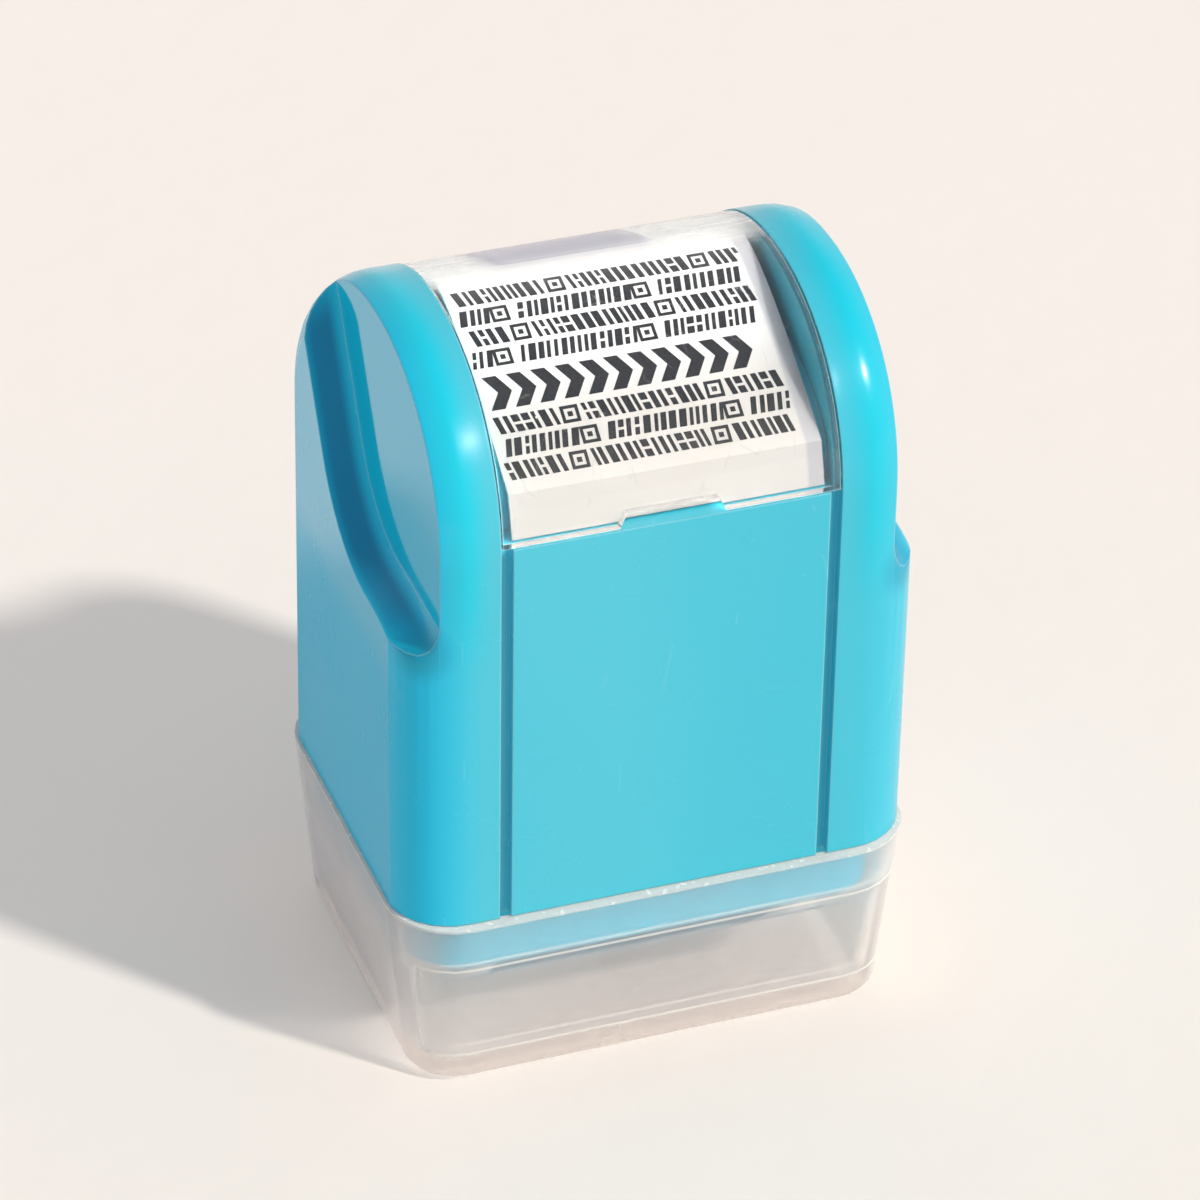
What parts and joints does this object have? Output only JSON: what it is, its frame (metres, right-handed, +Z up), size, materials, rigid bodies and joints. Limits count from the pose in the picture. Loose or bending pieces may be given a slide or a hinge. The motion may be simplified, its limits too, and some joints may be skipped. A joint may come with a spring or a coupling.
{
  "type": "roller stamp",
  "caption": "Hand roller stamp with an arched housing, a clear window over a label card, an inked print drum and a milky cap that it stands in.",
  "frame": {"origin": "middle of the cap's flat underside, where the object stands", "axes": "+X along the rollers, to the right seen from the front; -Y the front, with the cover's finger notch; +Z up, from the cap to the window"},
  "size_m": [0.0446, 0.0354, 0.0655],
  "materials": {
    "cap_plastic": "milky translucent",
    "shell_plastic": "glossy",
    "frame_plastic": "satin",
    "clear_plastic": "clear",
    "paper": "matt card",
    "white_plastic": "satin",
    "sleeve_rubber": "matt",
    "foam": "open foam",
    "steel": "ground"
  },
  "bodies": {
    "cap": {"cap": "cap_plastic"},
    "stamp": {"housing_shell": "shell_plastic", "roller_frame": "frame_plastic", "frame_bridge": "frame_plastic", "axle_bush_left": "white_plastic", "axle_bush_right": "white_plastic"},
    "window": {"window_cover": "clear_plastic", "label_card": "paper"},
    "print_drum": {"drum_tube": "white_plastic", "drum_hub_left": "white_plastic", "drum_hub_right": "white_plastic", "stamp_sleeve": "sleeve_rubber", "traction_ring_left": "white_plastic", "traction_ring_right": "white_plastic", "drum_axle": "steel"},
    "ink_roller": {"ink_sponge": "foam", "ink_core": "white_plastic", "ink_flange_left": "white_plastic", "ink_flange_right": "white_plastic", "ink_axle": "steel"}
  },
  "joints": [
    {"name": "stamp_lift", "type": "slide", "parent": "cap", "child": "stamp", "axis": [0, 0, 1], "range_m": [0, 0.025]},
    {"name": "window_lift", "type": "slide", "parent": "stamp", "child": "window", "axis": [0, 0, 1], "range_m": [0, 0.018]},
    {"name": "drum_spin", "type": "hinge", "parent": "stamp", "child": "print_drum", "pos_m": [0, 0, 0.0153], "axis": [1, 0, 0], "continuous": true},
    {"name": "ink_spin", "type": "hinge", "parent": "stamp", "child": "ink_roller", "pos_m": [0, 0, 0.0372], "axis": [1, 0, 0], "continuous": true}
  ],
  "couplings": [
    {"joint": "ink_spin", "follows": "drum_spin", "ratio": -1.5647}
  ]
}
